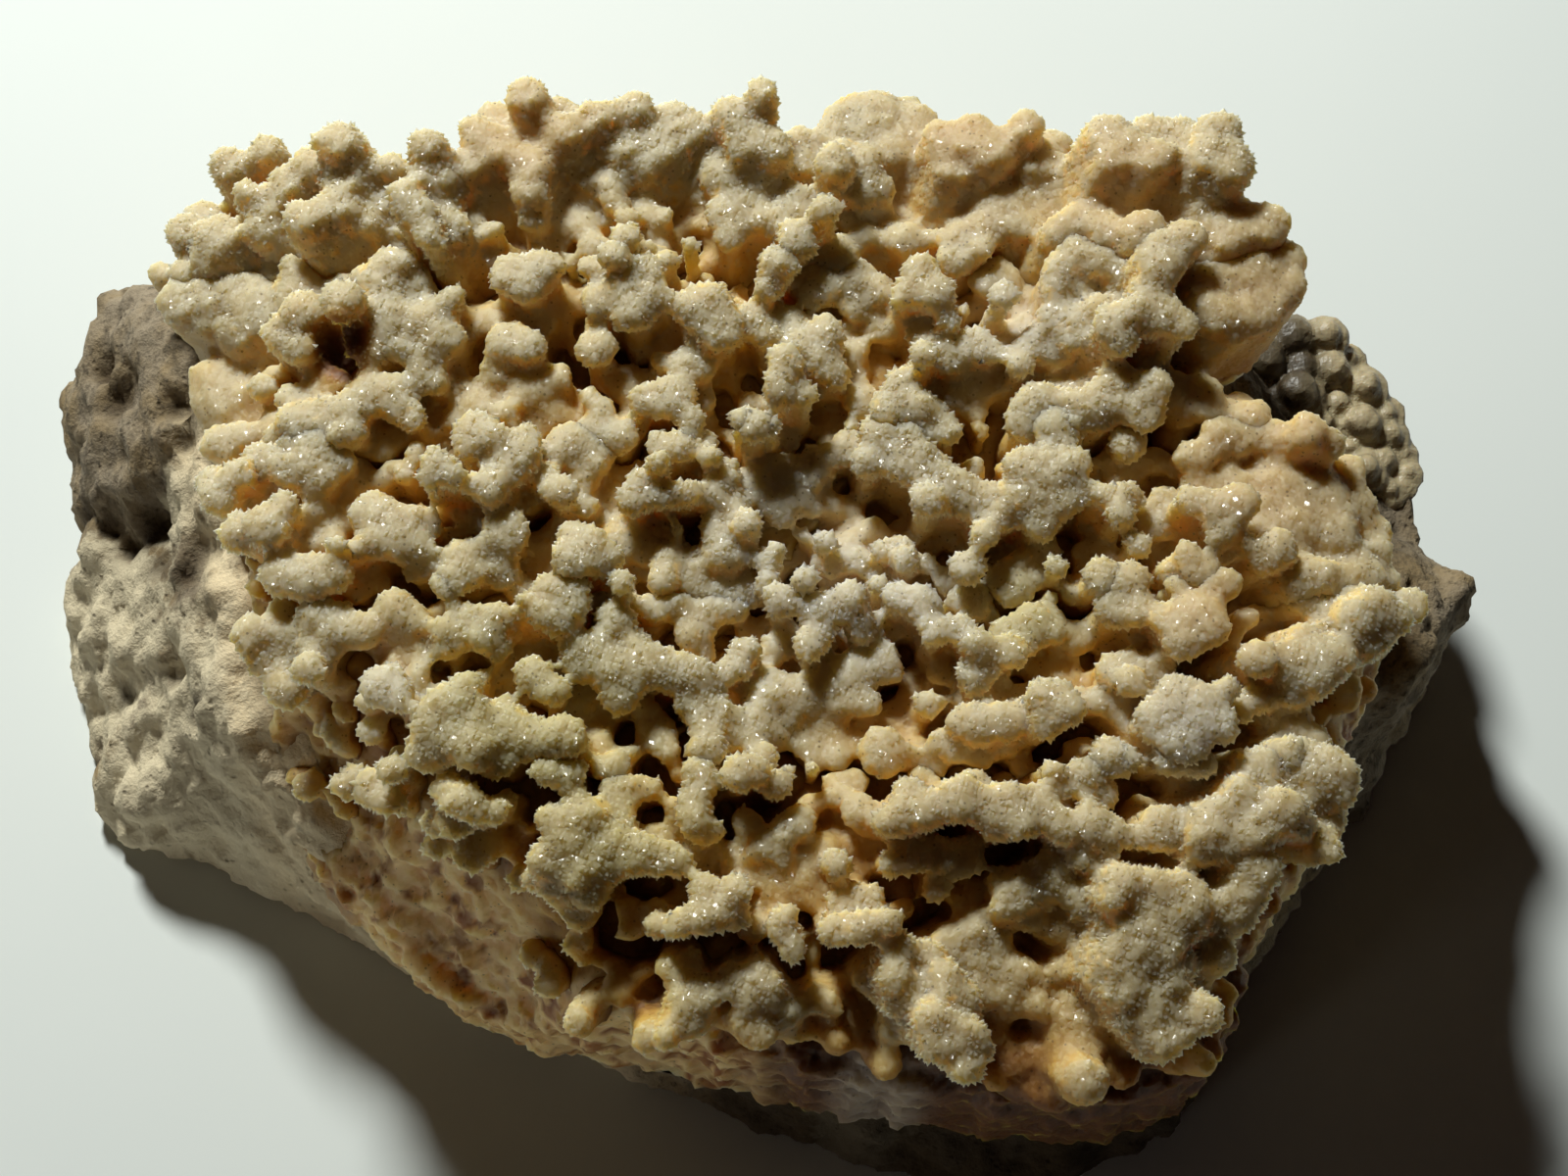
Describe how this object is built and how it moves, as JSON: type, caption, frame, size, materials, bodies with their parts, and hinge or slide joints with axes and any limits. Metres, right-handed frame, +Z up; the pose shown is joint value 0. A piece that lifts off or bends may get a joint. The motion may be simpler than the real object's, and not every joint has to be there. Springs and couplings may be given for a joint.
{
  "type": "calcite specimen on limestone",
  "caption": "Hand specimen of knobbly, coral-like calcite crust grown on a rough block of grey limestone, lying on its flat foot.",
  "frame": {"origin": "centre of the footprint of the specimen's bounding box, on the plane it rests on", "axes": "+Z up out of the crust, +X along the longest side towards the shelf with the small round knobs, +Y towards the back edge"},
  "size_m": [0.163, 0.115, 0.0569],
  "materials": {
    "limestone": "rough broken grey-brown limestone with cream patches and pits",
    "calcite": "cream to honey calcite coated in fine crystal points, brown in the hollows",
    "shelf_calcite": "smooth dull grey-tan calcite"
  },
  "bodies": {
    "root": {"limestone_matrix": "limestone", "calcite_crust": "calcite", "shelf_crust": "shelf_calcite"}
  },
  "joints": []
}
